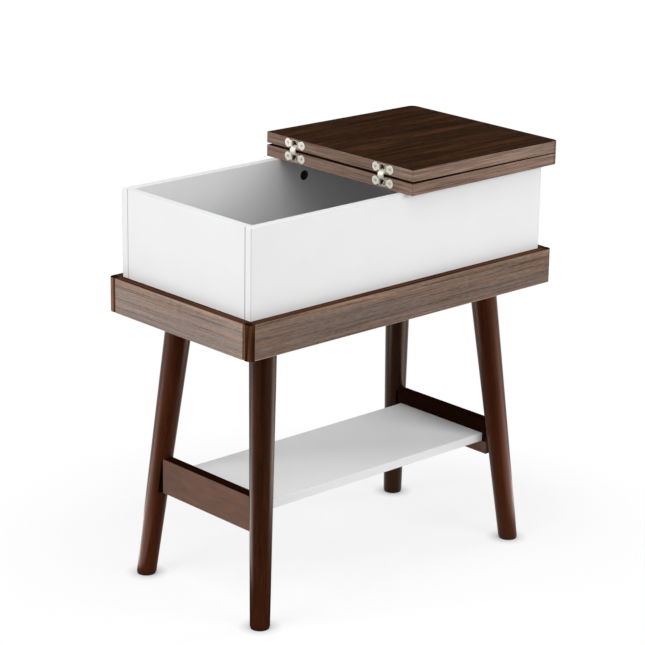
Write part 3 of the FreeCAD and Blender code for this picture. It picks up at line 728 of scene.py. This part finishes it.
def screwRecessShade(tree, parts, colour, low, high):  # painted shade: darker in and about the cross in each screw's head
    half = fittings["earSpacing"] / 2
    beside = awayFrom(tree, awayFrom(tree, parts[1]), high[1] - fittings["screwHead"] - half)
    aside = sums(tree, "SUBTRACT", beside, half)
    rise = sums(tree, "SUBTRACT", parts[2], (low[2] + high[2]) / 2)
    off = sums(tree, "SQRT", sums(tree, "MULTIPLY_ADD", aside, aside, times(tree, rise, rise)))
    return blended(tree, stepped(tree, off, *fittings["recessShadeReach"]), colour, tone(*fittings["recessShade"]))


def mouldedPlastic(name, colour):
    material, tree, shader, place = finish(name, fittings["plasticShine"])
    speckle = grainy(tree, place, *fittings["speckle"])
    lighter = [channel + fittings["speckleLift"] for channel in colour]
    scale = ramped(tree, speckle, fittings["speckleStops"], (colour, lighter))
    surfaced(tree, shader, scale, speckle, fittings["plasticMatt"], speckle, fittings["plasticRelief"])
    return material


def plainBeech():
    material, tree, shader, place = finish("plainBeech")
    lines = grainy(tree, place, *fittings["beechLines"])
    colour = ramped(tree, lines, fittings["beechStops"], fittings["beech"])
    surfaced(tree, shader, colour, lines, fittings["beechMatt"], lines, fittings["beechRelief"])
    return material


def ending(*ends):
    return [name for name in nodes if name.endswith(ends)]


dress(ending("_half"), platedMetal("hingeNickel", fittings["nickel"], hingePocketShade, "back_hinge_fixed_half"))
dress(ending("_link"), platedMetal("linkNickel", fittings["nickel"]))
dress(ending("_pins"), platedMetal("hingePinSteel", fittings["pin"]))
for side in ("fixed", "flip"):
    screws = "hinge_" + side + "_screws"
    dress([screws], platedMetal("hingeScrew_" + side, fittings["screw"], screwRecessShade, screws))
zincEnds = ("_bolts", "_plate", "_cam_dowels", "apron_screws", "base_screws", "leg_plate_screws")
dress(ending(*zincEnds), platedMetal("zincSteel", fittings["zinc"]))
dress(ending("_cam_locks"), mouldedPlastic("blackLock", fittings["lock"]))
dress(["foot_pads"], mouldedPlastic("glidePlastic", fittings["glide"]))
dress(["stretcher_dowels"], plainBeech())
print("fittings finished")


# Floor: white near the table with the table's shadow in it, partly lit and partly painted as contact shade,
# running out into the white backdrop.
# The room on the camera's side is dark, and shows only in what is glossy.
stage = {
    "floorHalf": 9.0,
    "floorColour": (226, 226, 226),
    "floorSeen": (137, 137, 137),
    "floorGlow": 0.75,
    "contactShadeReach": 0.02,
    "fadeFrom": 0.34,
    "fadeTo": 0.62,
    "ambient": 0.45,
    "roomWay": (0.678, 0.735, 0),     # from the camera toward the table, level
    "roomSide": (0.735, -0.678, 0),   # to the right of that
    "roomDepth": (0.15, -0.2),
    "roomWidth": (1.0, 0.62),
    "roomTurn": (-0.2, -0.75),
    "roomLevel": 0.04,
}


def seenRays(tree):  # 1 for rays that show the background itself, 0 for rays that only carry its light
    rays = put(tree, "LightPath").outputs
    shown = sums(tree, "MAXIMUM", rays["Is Camera Ray"], rays["Is Glossy Ray"])
    return sums(tree, "MAXIMUM", shown, rays["Is Transmission Ray"])


def glossyRays(tree):
    return put(tree, "LightPath").outputs["Is Glossy Ray"]


def reachAlong(tree, place, way):
    return put(tree, "VectorMath", {0: place, 1: way}, operation="DOT_PRODUCT").outputs["Value"]


def floorPaper():
    material = bpy.data.materials.new("floorPaper")
    tree = emptyTree(material)
    seen = seenRays(tree)
    place = put(tree, "TexCoord").outputs["Object"]
    reach = put(tree, "VectorMath", {0: place}, operation="LENGTH").outputs["Value"]
    far = times(tree, stepped(tree, reach, stage["fadeFrom"], stage["fadeTo"]), seen)
    white = blended(tree, seen, tone(*stage["floorColour"]), tone(*stage["floorSeen"]))
    paper = put(tree, "BsdfDiffuse", {"Color": white})
    # Painted shade: the floor's glow is darkened by occlusion close to what stands on it
    contactShade = put(tree, "AmbientOcclusion", {"Distance": stage["contactShadeReach"]}).outputs["AO"]
    glow = put(tree, "Emission", {"Strength": times(tree, seen, times(tree, contactShade, stage["floorGlow"]))})
    lit = put(tree, "AddShader", {0: paper.outputs[0], 1: glow.outputs[0]})
    backdrop = put(tree, "Emission", {"Strength": 1.0})
    mixed = put(tree, "MixShader", {0: far, 1: lit.outputs[0], 2: backdrop.outputs[0]})
    across = awayFrom(tree, reachAlong(tree, place, stage["roomSide"]))
    strip = times(tree, stepped(tree, reachAlong(tree, place, stage["roomWay"]), *stage["roomDepth"]),
                  stepped(tree, across, *stage["roomWidth"]))
    unlit = times(tree, strip, glossyRays(tree))
    room = put(tree, "Emission", {"Strength": stage["roomLevel"]})
    shown = put(tree, "MixShader", {0: unlit, 1: mixed.outputs[0], 2: room.outputs[0]})
    put(tree, "OutputMaterial", {"Surface": shown.outputs[0]})
    return material


half = stage["floorHalf"]
corners = [(-half, -half, 0), (half, -half, 0), (half, half, 0), (-half, half, 0)]
floorMesh = bpy.data.meshes.new("floor")
floorMesh.from_pydata(corners, [], [(0, 1, 2, 3)])
floor = bpy.data.objects.new("floor", floorMesh)
bpy.context.scene.collection.objects.link(floor)
floor.data.materials.append(floorPaper())

world = bpy.data.worlds.new("studio")
bpy.context.scene.world = world
tree = emptyTree(world)
level = put(tree, "MapRange", {0: seenRays(tree), 3: stage["ambient"], 4: 1.0}).outputs[0]
toward = reachAlong(tree, put(tree, "TexCoord").outputs["Generated"], stage["roomWay"])
unlit = times(tree, stepped(tree, toward, *stage["roomTurn"]), glossyRays(tree))
level = put(tree, "MapRange", {0: unlit, 3: level, 4: stage["roomLevel"]}).outputs[0]
sky = put(tree, "Background", {"Strength": level})
put(tree, "OutputWorld", {"Surface": sky.outputs[0]})


def areaLamp(name, size, power):  # a flat lamp that the camera doesn't see, its power in watts
    lamp = bpy.data.lights.new(name, "AREA")
    lamp.shape = "RECTANGLE"
    lamp.size, lamp.size_y = size
    lamp.energy = power
    light = bpy.data.objects.new(name, lamp)
    light.visible_camera = False
    bpy.context.scene.collection.objects.link(light)
    return light


# Softboxes: where they stand, what they face, their width and height, and their power
softboxes = {
    "leftSoftbox": {"place": (-2.2, 0.3, 1.45), "aim": (0, 0, 0.4), "size": (1.4, 1.2), "power": 25},
    "frontSoftbox": {"place": (0.5, -2.4, 1.35), "aim": (0, 0, 0.4), "size": (1.6, 1.0), "power": 26},
    "rightSoftbox": {"place": (2.2, -0.8, 1.1), "aim": (0, 0, 0.4), "size": (1.0, 1.0), "power": 12},
    "topSoftbox": {"place": (-0.9, -0.5, 2.3), "aim": (0, 0, 0.5), "size": (1.5, 1.5), "power": 17},
}
for name, box in softboxes.items():
    light = areaLamp(name, box["size"], box["power"])
    light.location = box["place"]
    light.rotation_euler = (Vector(box["aim"]) - Vector(box["place"])).to_track_quat("-Z", "Y").to_euler()

# Bright cards lying beside the table, face up, that show only as the long highlights along the legs.
# A span is along the picture from its middle, then away from the camera.
cards = {
    "spans": {"leftCard": ((-1.7, -0.31), (-0.3, 0.14)), "rightCard": ((0.39, 1.7), (-0.3, 0.3))},
    "height": 0.002,
    "level": 4.0,   # against 1 for white paper
}
for name, (across, onward) in cards["spans"].items():
    size = (across[1] - across[0], onward[1] - onward[0])
    card = areaLamp(name, size, cards["level"] * math.pi * size[0] * size[1])
    middle = Vector(stage["roomSide"]) * sum(across) / 2 + Vector(stage["roomWay"]) * sum(onward) / 2
    card.location = middle + Vector((0, 0, cards["height"]))
    card.rotation_euler = (math.pi, 0, math.atan2(stage["roomSide"][1], stage["roomSide"][0]))
    card.visible_diffuse = False
print("stage lit")


# Camera: turned, raised and rolled about its target as in the photograph, whose frame is square
photoView = {
    "framePixels": 645,
    "focalPixels": 2417.8,
    "azimuth": -42.69,
    "elevation": 17.64,
    "roll": 0.84,
    "distance": 3.5642,
    "target": (0.0201, 0.0475, 0.3484),
    "sensorWidth": 36,   # millimetres
    "clipEnd": 50,
}
azimuth, elevation, roll = (math.radians(photoView[key]) for key in ("azimuth", "elevation", "roll"))
backward = Vector((math.sin(azimuth) * math.cos(elevation), -math.cos(azimuth) * math.cos(elevation),
                   math.sin(elevation)))
levelRight = (-backward).cross(Vector((0, 0, 1))).normalized()
levelUp = levelRight.cross(-backward)
viewRight = levelRight * math.cos(roll) + levelUp * math.sin(roll)
viewUp = levelUp * math.cos(roll) - levelRight * math.sin(roll)
cameraData = bpy.data.cameras.new("photoCamera")
cameraData.sensor_width = photoView["sensorWidth"]
cameraData.lens = photoView["sensorWidth"] * photoView["focalPixels"] / photoView["framePixels"]
cameraData.clip_end = photoView["clipEnd"]
camera = bpy.data.objects.new("photoCamera", cameraData)
turned = Matrix((viewRight, viewUp, backward)).transposed().to_4x4()
standing = Vector(photoView["target"]) + backward * photoView["distance"]
camera.matrix_world = Matrix.Translation(standing) @ turned
bpy.context.scene.collection.objects.link(camera)
bpy.context.scene.camera = camera
bpy.context.scene.view_settings.view_transform = "Standard"
print("camera set")
